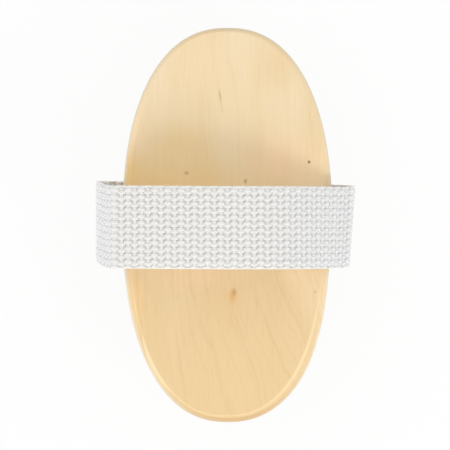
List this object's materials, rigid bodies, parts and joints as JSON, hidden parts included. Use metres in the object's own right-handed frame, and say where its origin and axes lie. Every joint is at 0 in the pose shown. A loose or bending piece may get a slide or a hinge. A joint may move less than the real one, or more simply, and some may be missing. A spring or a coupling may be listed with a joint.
{
  "type": "body dry brush",
  "caption": "Oval wooden body brush with natural bristle tufts drilled through a two-board head and a white woven hand strap over the back.",
  "frame": {"origin": "on the surface that the bristle tips stand on, under the middle of the board", "axes": "+Z from the bristle tips up to the back board, +Y along the board, +X across it, towards the sloping side of the strap"},
  "size_m": [0.0895, 0.136, 0.065],
  "materials": {
    "board_wood": "fine sanded pale birch with a thin clear satin coat",
    "strap_webbing": "bleached white plain woven webbing, matt",
    "bristle_fibre": "undyed straw-coloured natural bristle, slightly glossy",
    "staple_steel": "galvanised flat wire",
    "draw_wire": "drawn round wire"
  },
  "bodies": {
    "root": {"back_board": "board_wood", "bristle_board": "board_wood", "hand_strap": "strap_webbing", "strap_staple_left_1": "staple_steel", "strap_staple_left_2": "staple_steel", "strap_staple_right_1": "staple_steel", "strap_staple_right_2": "staple_steel", "tuft_field_1": "bristle_fibre", "tuft_field_2": "bristle_fibre", "tuft_field_3": "bristle_fibre", "tuft_field_4": "bristle_fibre", "draw_wire_1": "draw_wire", "draw_wire_2": "draw_wire", "draw_wire_3": "draw_wire", "draw_wire_4": "draw_wire"}
  },
  "joints": []
}
